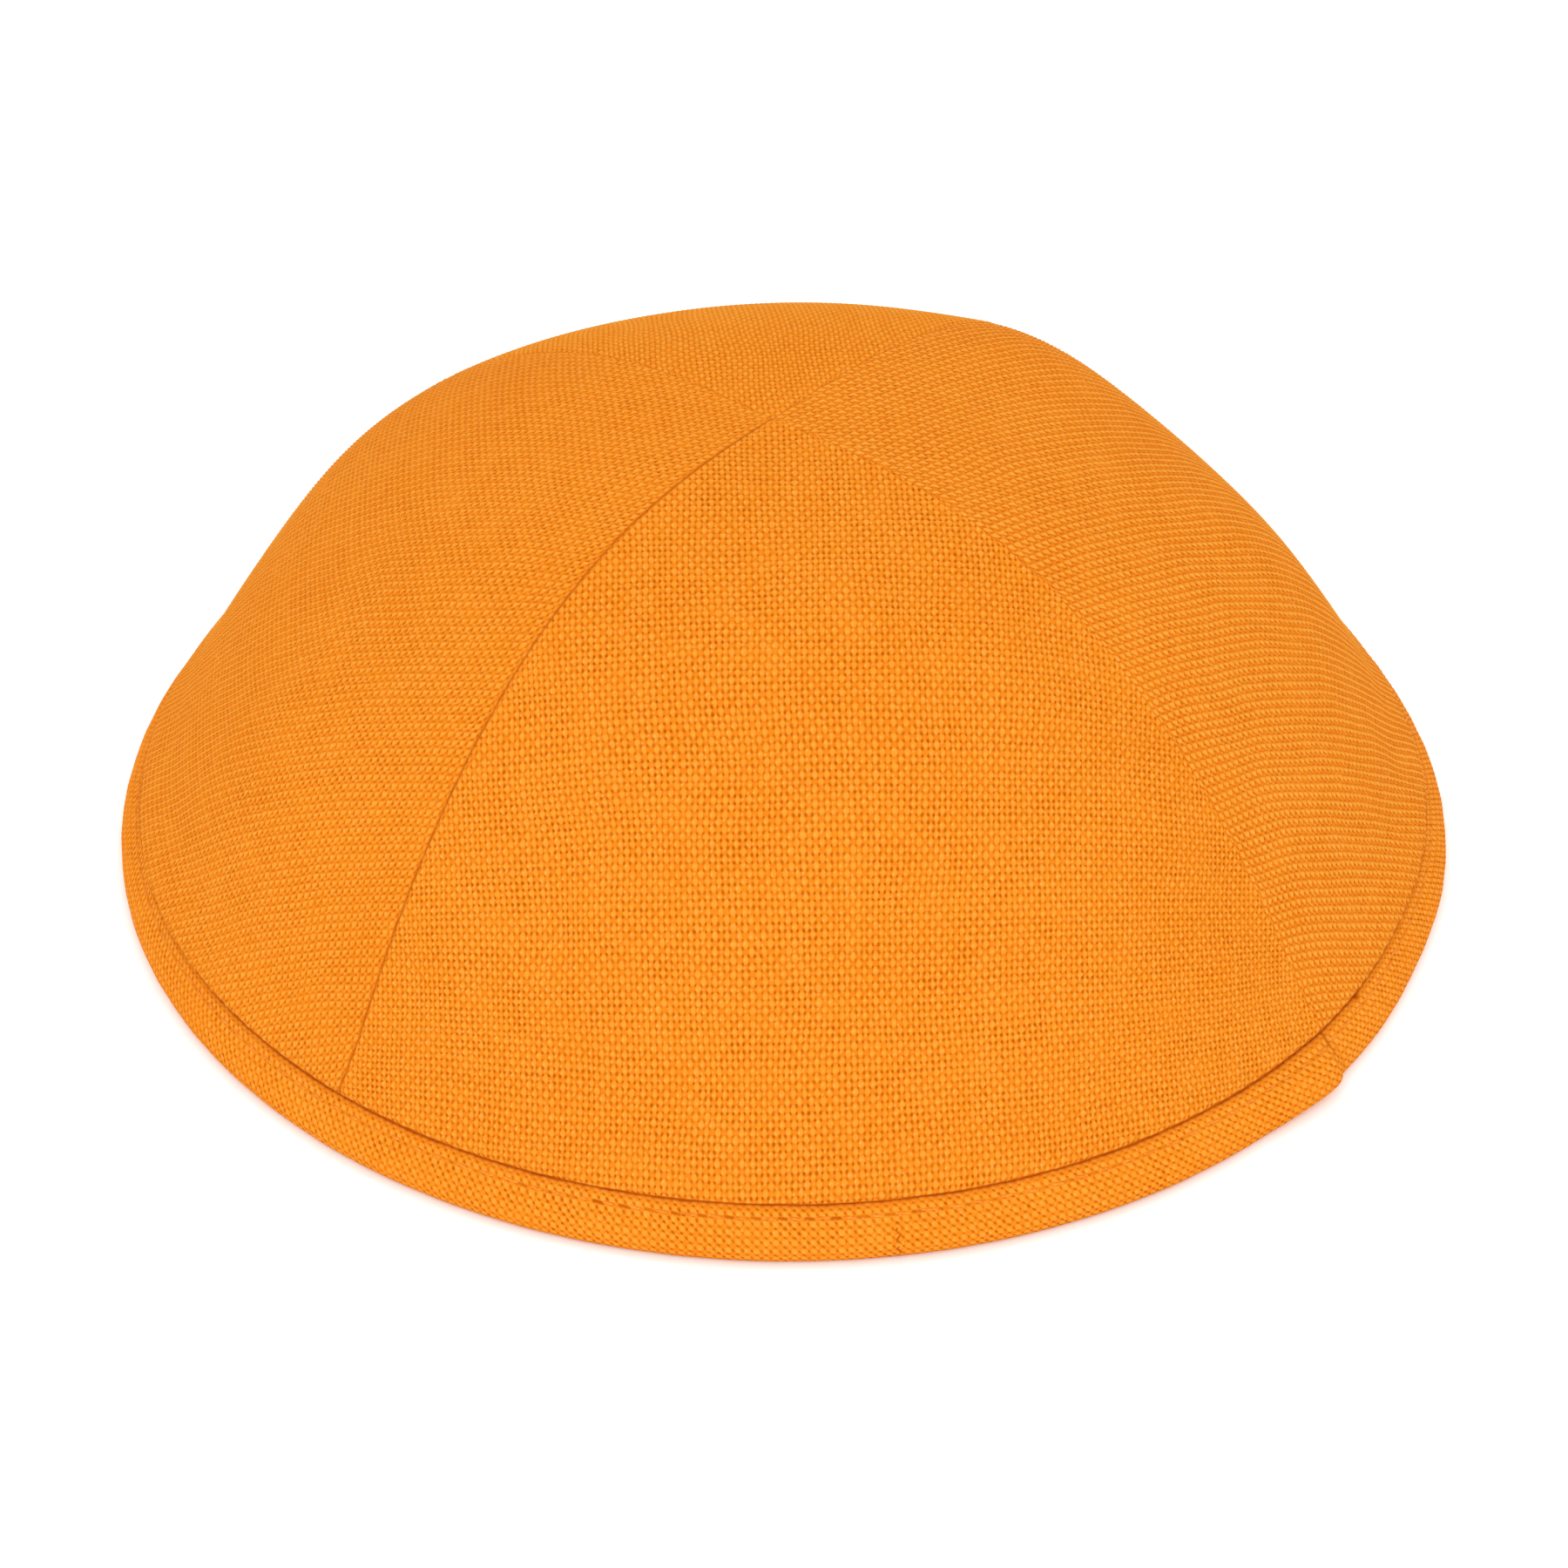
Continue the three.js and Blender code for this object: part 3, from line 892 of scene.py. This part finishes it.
        # painted shade along each seam's line
        painted_crease_shade = np.zeros(count)
        for side, style in enumerate(self.seams):
            spot, away = self.seam_plane(side)
            gap = (np.array(spot) / MM - spots) @ np.array(away)
            lift, dark = self.seam_lift(gap, share * self.dome.slope(azimuth), style, side)
            out = out + lift
            relief = relief * smooth(gap, -0.2, 0.9)
            painted_crease_shade = np.maximum(painted_crease_shade, dark)
        up = (1 - share) * self.dome.slope(azimuth)
        out = out + relief
        puff = np.full(count, self.puff)
        for place, wide, more in self.fuller:
            turn = np.degrees(np.angle(np.exp(1j * (azimuth - math.radians(place)))))
            puff = puff + more * np.exp(-((turn / wide) ** 2))
        out = out + puff * (1 - smooth(up, self.tape_top, self.tape_top + self.puff_reach))
        free = smooth(up, self.tape_top - 0.3, self.tape_top + self.tuck_reach)
        out = self.tucked_out + (out - self.tucked_out) * free
        points = self.dome.skin(azimuth, share, out)
        mesh.vertices.foreach_set("co", (points * MM).ravel())
        mesh.attributes.new(PAINTED_CREASE_SHADE, "FLOAT", "POINT").data.foreach_set("value", painted_crease_shade)
        # how near each point lies to the tape's top edge, which sets the painted shade of the groove's line
        reach = np.interp(np.cos(azimuth) ** 2, (0, 1), self.groove_reach)
        groove = np.clip(1 - (up - self.tape_top) / reach, 0, 1)
        mesh.attributes.new(GROOVE, "FLOAT", "POINT").data.foreach_set("value", groove)
        corners = np.zeros(len(mesh.loops), int)
        mesh.loops.foreach_get("vertex_index", corners)
        flat = np.stack([u, v], -1)[corners]
        mesh.uv_layers.new(name=GRAIN_MAP).data.foreach_set("uv", flat.ravel())
        mesh.attributes.remove(mesh.attributes["place"])
        mesh.update()

    def seam_lift(
        self, gap: np.ndarray, along: np.ndarray, style: SeamStyle, side: int
    ) -> tuple[np.ndarray, np.ndarray]:
        """Relief of the cloth beside one seam.

        Args:
            gap: distance from the seam.
            along: distance down the seam.
            style: how the seam lies.
            side: which seam of the panel it is.

        Returns:
            Height outwards and the painted shade of the seam's line at each place.
        """
        near = np.clip(gap, 0, self.roll)
        drop = self.roll - np.sqrt(np.maximum(self.roll**2 - (self.roll - near) ** 2, 0))
        seed = round(self.middle + (45.0 if side else -45.0)) % 360
        pucker = ripple(along, (4.7, 6.9, 11.3), seed)
        shape = SEAM_SHAPES[style]
        ridge = shape.ridge * np.exp(-(((gap - shape.ridge_place) / shape.ridge_reach) ** 2))
        hug = np.exp(-((gap / self.pucker_reach) ** 2))
        lift = -shape.drop * drop + ridge + shape.pucker * pucker * hug
        dark = (shape.dark + shape.dark_pucker * pucker) * np.exp(-((gap / shape.dark_reach) ** 2))
        return lift, dark

    def meet(self, obj: bpy.types.Object, outside: int) -> None:
        """Brings the wall's inner edges to the seams, so that no gap opens between two panels inside.

        Args:
            obj: the panel with its wall.
            outside: how many of its points are on the outer face; each has its inner one after them.
        """
        mesh = obj.data
        spots = np.zeros(len(mesh.vertices) * 3)
        mesh.vertices.foreach_get("co", spots)
        spots = spots.reshape(-1, 3)
        for side in (0, 1):
            spot, away = self.seam_plane(side)
            gap = (np.array(spot) - spots) @ np.array(away)
            outer, inner = gap[:outside], gap[outside : 2 * outside]
            move = np.where((np.abs(outer) < 0.05 * MM) | (inner < 0), inner, 0)
            spots[outside : 2 * outside] += move[:, None] * np.array(away)
        mesh.vertices.foreach_set("co", spots.ravel())
        mesh.update()

    def build(self, finish: bpy.types.Material) -> bpy.types.Object:
        """Weaves, cuts, shapes and dresses the panel.

        Args:
            finish: the linen.

        Returns:
            The panel.
        """
        obj = self.cut(*self.lattice())
        self.shape(obj)
        outside = len(obj.data.vertices)
        wall = obj.modifiers.new("wall", "SOLIDIFY")
        wall.thickness = self.thickness * MM
        wall.offset = -1.0
        apply_modifiers(obj)
        self.meet(obj, outside)
        for face in obj.data.polygons:
            face.use_smooth = True
        dress(obj, finish, (self.node,))
        return obj


@dataclass
class RimTape:
    """Bias tape folded over the panels' lower edges, with its lapped end."""

    dome: Dome
    name: str = "rim_tape_linen"
    node: str = "rim_tape"
    flat: tuple[float, float] = (509.0, 16.0)
    pitch: float = 0.73
    top_edge: float = 7.3
    bend: float = 2.0
    slot: float = 0.9
    middle_out: float = -1.3
    pressed: float = 0.35
    leaf_top_out: float = 1.50
    leaf_top_in: float = -1.18
    relief: float = 0.04
    lap_azimuth: float = -39.0
    lap_step: float = 1.2
    lap_rise: float = 1.5
    lap_fade: float = 10.5
    gape_azimuth: float = -33.2
    stitch_depth: float = 1.5
    stitch_count: int = 170
    seed: int = 91
    edge_waver: float = 0.10
    stitch_dimple: float = 0.10
    puff: float = 0.07
    sewn_share: float = 0.12
    swell_from: float = 0.4
    swell_to: float = 3.6
    edge_painted_shade: float = 0.7
    edge_reach: float = 0.24

    def step(self) -> float:
        """Spacing of the tape's mesh, which follows its yarns on the bias."""
        return self.pitch / math.sqrt(2) * 1

    def fold(self, azimuth: np.ndarray) -> np.ndarray:
        """Height up the slope of the middle of the bend."""
        return self.dome.fold_height(azimuth, self.bend, self.pressed, self.middle_out)

    def lap(self, azimuth: np.ndarray) -> np.ndarray:
        """How far the lapped end lifts the tape.

        Args:
            azimuth: round the cap, in radians.

        Returns:
            The lift at each azimuth, in millimetres.
        """
        behind = np.degrees(np.mod(math.radians(self.lap_azimuth) - azimuth, math.tau))
        rise = np.sqrt(1 - (1 - np.minimum(behind / self.lap_rise, 1)) ** 2)
        return self.lap_step * rise * (1 - smooth(behind, self.lap_rise, self.lap_fade))

    def loose(self, down: np.ndarray) -> np.ndarray:
        """Share of the lap's lift that is left at each distance down from the tape's sewn top edge."""
        return self.sewn_share + (1 - self.sewn_share) * smooth(down, 0.0, self.swell_to)

    def columns(self) -> np.ndarray:
        """Places the mesh's columns, with some close ones at the lap.

        Returns:
            Their azimuths in radians, in order.
        """
        count = 2 * round(math.tau * self.dome.rim / self.step() / 2)
        even = np.linspace(0, math.tau, count, endpoint=False) - math.pi
        lap = math.radians(self.lap_azimuth)
        extra = lap - np.radians((0.0, 0.06, 0.15, 0.30, 0.50, 0.75, 1.05, 1.40))
        even = even[np.abs(even - lap + 0.0125) > 0.0165]
        return np.sort(np.concatenate([even, extra]))

    def section(self, azimuth: np.ndarray) -> tuple[np.ndarray, np.ndarray, np.ndarray]:
        """The tape's closed outline across its length, at each azimuth.

        Args:
            azimuth: the columns, in radians.

        Returns:
            Heights up the slope, distances from the dome, and the distance from the top edge over
            the outside.
        """
        # the outer leaf from its sewn edge down, the bend, and the inner leaf up again
        fold = self.fold(azimuth)[:, None]
        waver = self.edge_waver * ripple(azimuth * self.dome.rim, (3.1, 7.7, 17.0), self.seed)
        top = (self.top_edge + waver)[:, None]
        lap = self.lap(azimuth)[:, None]
        leaf = float(np.mean(top - fold))
        arc = math.pi * self.bend
        step = self.step()
        down = np.linspace(0.3, leaf, max(round(leaf / step), 4))[None, :]
        share = down / leaf
        outer_up = top - down * (top - fold) / leaf
        swell = smooth(down, self.swell_from, self.swell_to)
        dimple = self.stitch_dimple * np.exp(-(((down - self.stitch_depth) / 0.45) ** 2))
        outer = self.leaf_top_out + (self.bend - self.leaf_top_out) * swell - dimple
        outer = outer - 0.16 * np.exp(-((down - 0.3) / 0.25)) + 0 * fold
        turn = np.linspace(0, math.pi, max(round(arc / step), 8) + 1)[None, 1:]
        bend_up = fold - self.bend * np.sin(turn)
        bend_out = self.bend * np.cos(turn) + 0 * fold
        inner_up = fold + (top - fold) * share
        back_in = leaf * share
        inner_swell = 1 - smooth(back_in, leaf - self.swell_to, leaf - self.swell_from)
        inner = self.leaf_top_in + (-self.bend - self.leaf_top_in) * inner_swell + 0 * fold
        # the inner leaf's edge, the slot that holds the panels, and the outer leaf's edge
        hold = np.array([0.0, 0.12, 0.42])[None, :]
        rim_in_up = top - hold[:, [1, 0, 1]]
        rim_in_out = np.array([[-1.02, -0.78, -0.52]]) + 0 * fold
        slot_share = np.array([[0.35, 0.7]])
        slot_in_up = top - (top - fold) * slot_share
        slot_in_out = np.array([[-0.7, -0.9]]) + 0 * fold
        floor = np.radians([[20.0, 90.0, 160.0]])
        slot_up = fold - self.slot * np.sin(floor)
        slot_out = -self.slot * np.cos(floor) + 0 * fold
        slot_out_up = top - (top - fold) * slot_share[:, ::-1]
        slot_out_out = np.array([[0.9, 0.85]]) + 0 * fold
        rim_out_up = top - hold[:, [1, 0, 1]]
        rim_out_out = np.array([[0.80, 0.98, 1.22]]) + 0 * fold
        ups = [outer_up, bend_up, inner_up, rim_in_up, slot_in_up, slot_up, slot_out_up, rim_out_up]
        outs = [outer, bend_out, inner, rim_in_out, slot_in_out, slot_out, slot_out_out, rim_out_out]
        up = np.concatenate([u + 0 * fold for u in ups], 1)
        out = np.concatenate(outs, 1)
        seen = [down + 0 * fold, leaf + self.bend * turn + 0 * fold, leaf + arc + back_in + 0 * fold]
        rest = up.shape[1] - sum(s.shape[1] for s in seen)
        last = np.full((len(azimuth), rest - 3), 2 * leaf + arc + 0.5)
        edge = np.tile(np.array([[0.0, 0.1, 0.2]]), (len(azimuth), 1))
        distance = np.concatenate([*seen, last, edge], 1)
        lift = lap * smooth(out, 0.0, self.bend * 0.8) * self.loose(top - up)
        return up, self.middle_out + out + lift, distance

    def build(self, finish: bpy.types.Material) -> bpy.types.Object:
        """Folds, shapes and dresses the tape.

        Args:
            finish: the linen, on the bias.

        Returns:
            The tape.
        """
        azimuth = self.columns()
        up, out, distance = self.section(azimuth)
        columns, rows = up.shape
        turn = np.repeat(azimuth[:, None], rows, 1)
        along = turn * self.dome.rim
        yarn_a, yarn_b = (along + distance) / math.sqrt(2), (along - distance) / math.sqrt(2)
        weave = np.cos(math.tau * yarn_a / self.pitch) + np.cos(math.tau * yarn_b / self.pitch)
        seen = distance < distance.max() - 0.4
        out = out + np.where(seen, np.sign(out - self.middle_out) * self.relief * weave / 2, 0)
        puff = self.puff * ripple(turn * self.dome.rim, (5.3, 9.1, 23.0), self.seed + 1)
        puff = puff * smooth(distance, 0.3, 3.0)
        out = out + np.where(seen & (out > self.middle_out), puff, 0)
        points = self.dome.skin(turn, self.dome.share_up(turn, up), out)
        points[..., 2] = np.maximum(points[..., 2], 0.0)
        # painted shade along the tape's top edge, under the lapped end and in the small gape in the groove
        painted_crease_shade = self.edge_painted_shade * np.exp(-((distance / self.edge_reach) ** 2)) * (out > self.middle_out)
        painted_crease_shade = np.maximum(painted_crease_shade, self.shadow_of_lap(turn, distance))
        painted_gape_shade = np.exp(-(((np.degrees(turn) - self.gape_azimuth) / 0.45) ** 2) - (distance / 0.5) ** 2)
        painted_crease_shade = np.maximum(painted_crease_shade, 1.6 * painted_gape_shade)
        mesh = bpy.data.meshes.new(self.name)
        column, row = np.meshgrid(np.arange(columns), np.arange(rows), indexing="ij")
        after, below = (column + 1) % columns, (row + 1) % rows
        here, there = column * rows, after * rows
        faces = np.stack([here + row, here + below, there + below, there + row], -1)
        mesh.from_pydata((points.reshape(-1, 3) * MM).tolist(), [], faces.reshape(-1, 4).tolist())
        wrap = np.where(column + 1 == columns, math.tau * self.dome.rim, 0.0)
        first = np.stack([along, distance], -1)
        flat = [first, first[column, below], first[after, below], first[after, row]]
        flat = [np.array(corner) for corner in flat]
        flat[2][..., 0] += wrap
        flat[3][..., 0] += wrap
        closing = row + 1 == rows
        for corner, beside in ((1, 0), (2, 3)):
            flat[corner][..., 1] = np.where(closing, flat[beside][..., 1], flat[corner][..., 1])
        mesh.uv_layers.new(name=GRAIN_MAP).data.foreach_set("uv", np.stack(flat, 2).ravel())
        mesh.attributes.new(PAINTED_CREASE_SHADE, "FLOAT", "POINT").data.foreach_set("value", painted_crease_shade.ravel())
        mesh.update()
        obj = bpy.data.objects.new(self.name, mesh)
        bpy.context.scene.collection.objects.link(obj)
        for face in mesh.polygons:
            face.use_smooth = True
        dress(obj, finish, (self.node,))
        return obj

    def shadow_of_lap(self, turn: np.ndarray, distance: np.ndarray) -> np.ndarray:
        """Dark line under the lapped end's folded edge.

        Args:
            turn: azimuths.
            distance: distances from the top edge.

        Returns:
            Darkness at each place.
        """
        ahead = np.degrees(turn) - self.lap_azimuth
        return 0.8 * np.exp(-((ahead / 0.22) ** 2)) * (distance < 9.0)


@dataclass
class Topstitch:
    """Two rows of lockstitch through the tape: one on its outer leaf and one inside."""

    tape: RimTape
    name: str = "rim_topstitch"
    length: float = 2.2
    thread: float = 0.17
    sink: float = 0.06
    seed: int = 17

    def stitch(self) -> bpy.types.Object:
        """Models one stitch: a short length of thread that dives at both ends.

        Returns:
            The stitch, along X with Z outwards, at the origin.
        """
        half = self.length / 2
        bpy.ops.object.select_all(action="DESELECT")
        bpy.ops.mesh.primitive_circle_add(
            vertices=6, radius=0.6 * self.thread * MM, fill_type="NGON", rotation=(0, math.radians(90), 0)
        )
        obj = bpy.context.active_object
        bpy.ops.object.transform_apply(location=False, rotation=True, scale=True)
        bpy.ops.object.mode_set(mode="EDIT")
        bpy.ops.mesh.select_all(action="SELECT")
        bpy.ops.transform.translate(value=(-half * MM, 0, -2.2 * self.thread * MM))
        for run, rise, swell in ((0.16, 1.5, 1.5), (0.30, 0.7, 1.15), (half - 0.46, 0.3, 1.0)):
            bpy.ops.mesh.extrude_region_move(
                TRANSFORM_OT_translate={"value": (run * MM, 0, rise * self.thread * MM)}
            )
            bpy.ops.transform.resize(value=(1, swell, swell))
        for run, rise, swell in ((half - 0.46, -0.3, 1.0), (0.30, -0.7, 0.87), (0.16, -1.5, 0.67)):
            bpy.ops.mesh.extrude_region_move(
                TRANSFORM_OT_translate={"value": (run * MM, 0, rise * self.thread * MM)}
            )
            bpy.ops.transform.resize(value=(1, swell, swell))
        bpy.ops.mesh.select_all(action="SELECT")
        bpy.ops.mesh.normals_make_consistent(inside=False)
        bpy.ops.object.mode_set(mode="OBJECT")
        return obj

    def row(self, base: bpy.types.Object, inside: bool) -> list[bpy.types.Object]:
        """Copies the stitch round the tape.

        Args:
            base: the stitch.
            inside: whether the row lies on the inner leaf.

        Returns:
            The row's stitches.
        """
        tape, dome = self.tape, self.tape.dome
        rng = np.random.default_rng(self.seed + inside)
        count = tape.stitch_count
        azimuth = (np.arange(count) + (0.5 if inside else 0.0)) * math.tau / count - math.pi
        up = np.full(count, tape.top_edge - tape.stitch_depth) + rng.normal(0, 0.05, count)
        if inside:
            out = np.full(count, tape.middle_out + tape.leaf_top_in - 0.12)
        else:
            depth = np.array(tape.stitch_depth)
            swell = float(smooth(depth, tape.swell_from, tape.swell_to))
            leaf = tape.leaf_top_out + (tape.bend - tape.leaf_top_out) * swell - tape.stitch_dimple
            out = tape.middle_out + leaf + tape.lap(azimuth) * tape.loose(depth)
        share = dome.share_up(azimuth, up)
        spots = dome.skin(azimuth, share, out - (-self.sink if inside else self.sink))
        ahead = dome.skin(azimuth + 0.01, share, out)
        faces = dome.normal(azimuth, share) * (-1 if inside else 1)
        made = []
        for spot, after, face in zip(spots, ahead, faces):
            along = Vector(after - spot).normalized()
            away = Vector(face)
            side = away.cross(along).normalized()
            along = side.cross(away).normalized()
            slant = Matrix.Rotation(math.radians(rng.normal(-5.0, 2.5)), 3, "Z")
            turn = Matrix((along, side, away)).transposed() @ slant
            copy = base.copy()
            copy.data = base.data.copy()
            copy.data.transform(Matrix.Translation(Vector(spot) * MM) @ turn.to_4x4())
            bpy.context.scene.collection.objects.link(copy)
            made.append(copy)
        return made

    def build(self, finish: bpy.types.Material) -> bpy.types.Object:
        """Sews both rows and joins them.

        Args:
            finish: the thread.

        Returns:
            All the stitches as one piece.
        """
        base = self.stitch()
        stitches = self.row(base, False) + self.row(base, True)
        bpy.data.objects.remove(base)
        bpy.ops.object.select_all(action="DESELECT")
        for stitch in stitches:
            stitch.select_set(True)
        bpy.context.view_layer.objects.active = stitches[0]
        bpy.ops.object.join()
        obj = bpy.context.active_object
        obj.name = self.name
        obj.data.name = self.name
        obj.select_set(False)
        for face in obj.data.polygons:
            face.use_smooth = True
        dress(obj, finish, ())
        return obj


@dataclass
class Studio:
    """Pale floor, soft light from all round and the camera in the photo's place."""

    eye: tuple[float, float, float] = (0.0, -0.3911, 0.3063)
    target: tuple[float, float, float] = (0.00011, 0.00455, 0.0)
    lens: float = 92.30
    floor_size: float = 8.0
    sky: float = 1.26
    key_power: float = 8.6
    key_place: tuple[float, float, float] = (-0.05, -1.25, 0.84)
    key_size: float = 1.4
    sensor: float = 36.0
    floor_drop: float = 0.00005

    def camera(self) -> bpy.types.Object:
        """Sets up the camera.

        Returns:
            The camera, looking at the cap from the front and above.
        """
        data = bpy.data.cameras.new("camera")
        data.lens = self.lens
        data.sensor_width = self.sensor
        data.clip_start = 0.01
        data.clip_end = 50.0
        obj = bpy.data.objects.new("camera", data)
        bpy.context.scene.collection.objects.link(obj)
        obj.location = self.eye
        aim = Vector(self.target) - Vector(self.eye)
        obj.rotation_euler = aim.to_track_quat("-Z", "Y").to_euler()
        bpy.context.scene.camera = obj
        return obj

    def lights(self) -> None:
        """Lights the scene evenly, a little more from the front."""
        world = bpy.data.worlds.new("soft_white_room")
        world.use_nodes = True
        world.node_tree.nodes["Background"].inputs["Color"].default_value = (1.0, 1.0, 1.0, 1.0)
        world.node_tree.nodes["Background"].inputs["Strength"].default_value = self.sky
        bpy.context.scene.world = world
        data = bpy.data.lights.new("front_softbox", "AREA")
        data.energy = self.key_power
        data.size = self.key_size
        obj = bpy.data.objects.new("front_softbox", data)
        bpy.context.scene.collection.objects.link(obj)
        obj.location = self.key_place
        obj.rotation_euler = (Vector((0, 0, 0.02)) - obj.location).to_track_quat("-Z", "Y").to_euler()

    def floor(self, finish: bpy.types.Material) -> bpy.types.Object:
        """Lays the floor.

        Args:
            finish: the white card.

        Returns:
            The floor, which isn't part of the object.
        """
        bpy.ops.object.select_all(action="DESELECT")
        bpy.ops.mesh.primitive_plane_add(size=self.floor_size, location=(0, 0, -self.floor_drop))
        obj = bpy.context.active_object
        obj.name = "floor"
        obj.data.materials.append(finish)
        obj.select_set(False)
        return obj


def main() -> None:
    """Builds the cap and its studio."""
    logging.basicConfig(level=logging.INFO, format="%(name)s: %(message)s")
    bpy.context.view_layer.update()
    bpy.context.scene.view_settings.view_transform = "Standard"
    dome = Dome()
    linen = LinenFinish().make()
    # copies of the linen for the side and back panels, with less painted shade in the pits and more painted
    # light and shade on the floats, for how light falls on each panel at its angle
    close = LinenFinish(
        name="plain_weave_linen_orange_painted_sides", pits=(0.38, 0.88), painted_float_light=0.85, glint_share=0.5
    ).make()
    painted_rows = LinenFinish(
        name="plain_weave_linen_orange_rowed", pits=(0.28, 0.78), painted_float_light=1.25, glint_share=0.5
    ).make()
    linens = {"panel_front": linen, "panel_right": painted_rows}
    pressed, proud, soft = SeamStyle.PRESSED, SeamStyle.PROUD, SeamStyle.SOFT
    plans = (
        Panel(
            name="panel_right_linen",
            node="panel_right",
            dome=dome,
            middle=5.7,
            seams=(soft, pressed),
            seed=3,
            grain_turn=-1.5,
            weft_pitch=0.90,
            flat_area=7535.0,
            warp_pitch=0.655,
        ),
        Panel(
            name="panel_back_linen",
            node="panel_back",
            dome=dome,
            middle=95.7,
            seams=(pressed, pressed),
            seed=5,
            grain_turn=0.0,
            weft_pitch=0.87,
            flat_area=7590.0,
        ),
        Panel(
            name="panel_left_linen",
            node="panel_left",
            dome=dome,
            middle=185.7,
            seams=(pressed, proud),
            seed=7,
            grain_turn=5.0,
            weft_pitch=0.87,
            flat_area=7410.0,
            warp_pitch=0.62,
        ),
        Panel(
            name="panel_front_linen",
            node="panel_front",
            dome=dome,
            middle=-84.3,
            seams=(proud, soft),
            seed=11,
            grain_turn=-5.0,
            weft_pitch=0.82,
            flat_area=7290.0,
        ),
    )
    for plan in plans:
        piece = plan.build(linens.get(plan.node, close))
        LOG.info("%s: %d faces", piece.name, len(piece.data.polygons))
    tape = RimTape(dome)
    perimeter = math.tau * dome.rim
    bias = LinenFinish(
        name="bias_cut_linen_tape_orange",
        pits=(0.45, 1.0),
        painted_float_light=0.60,
        glint_share=0.5,
        weave=Weave.BIAS,
        warp_pitch=tape.pitch,
        weft_pitch=tape.pitch,
        stitch_pitch=perimeter / tape.stitch_count,
        stitch_depth=tape.stitch_depth,
        join_place=-114.8,
        tight_place=-134.0,
    ).make()
    tape_piece = tape.build(bias)
    LOG.info("%s: %d faces", tape_piece.name, len(tape_piece.data.polygons))
    sewing = Topstitch(tape).build(ThreadFinish().make())
    LOG.info("%s: %d faces", sewing.name, len(sewing.data.polygons))
    studio = Studio()
    studio.camera()
    studio.lights()
    studio.floor(FloorFinish().make())
    LOG.info("studio: camera, sky, softbox and floor")
    bpy.context.view_layer.update()


if __name__ == "__main__":
    main()
